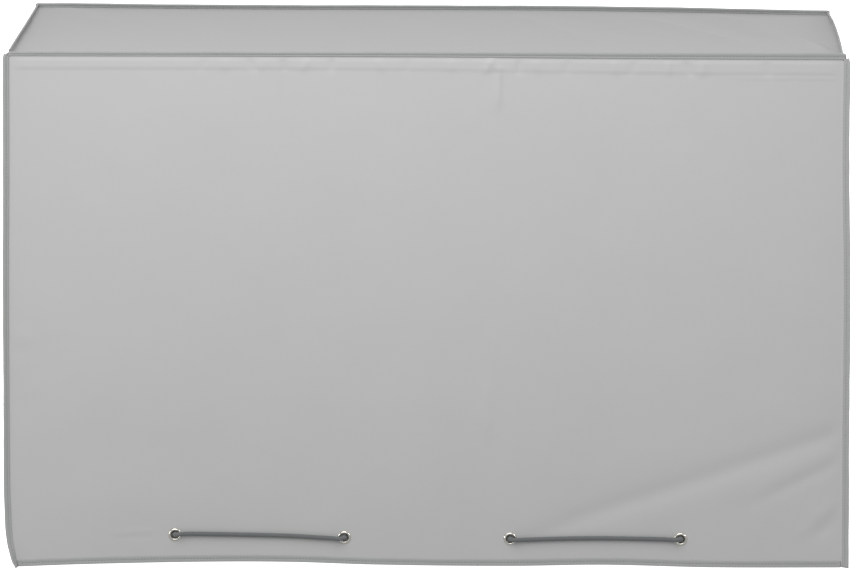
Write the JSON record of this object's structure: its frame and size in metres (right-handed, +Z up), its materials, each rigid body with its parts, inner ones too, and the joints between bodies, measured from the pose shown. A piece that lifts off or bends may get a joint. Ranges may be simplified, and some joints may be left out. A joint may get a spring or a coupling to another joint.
{
  "type": "air conditioner cover",
  "caption": "Fitted weather cover for an outdoor air conditioner: bound cloth panels, an open bottom, eyelets at the hem and an elastic drawcord.",
  "frame": {"origin": "middle of the top panel's underside, where it lies on the unit", "axes": "+X to the right seen from the front, +Y from the front to the back, +Z up"},
  "size_m": [0.9247, 0.4228, 0.575],
  "materials": {
    "cloth": "coated polyester, soft sheen",
    "tape": "woven binding tape",
    "nickel": "nickel plated",
    "elastic": "braided elastic"
  },
  "bodies": {
    "root": {"top_panel": "cloth", "front_panel": "cloth", "right_panel": "cloth", "back_panel": "cloth", "left_panel": "cloth", "front_left_binding": "tape", "front_right_binding": "tape", "back_right_binding": "tape", "back_left_binding": "tape", "top_front_binding": "tape", "hem_front_binding": "tape", "top_right_binding": "tape", "hem_right_binding": "tape", "top_back_binding": "tape", "hem_back_binding": "tape", "top_left_binding": "tape", "hem_left_binding": "tape", "front_eyelet_1": "nickel", "front_eyelet_2": "nickel", "front_eyelet_3": "nickel", "front_eyelet_4": "nickel", "right_eyelet_1": "nickel", "right_eyelet_2": "nickel", "back_eyelet_1": "nickel", "back_eyelet_2": "nickel", "back_eyelet_3": "nickel", "back_eyelet_4": "nickel", "left_eyelet_1": "nickel", "left_eyelet_2": "nickel", "drawcord": "elastic"}
  },
  "joints": []
}
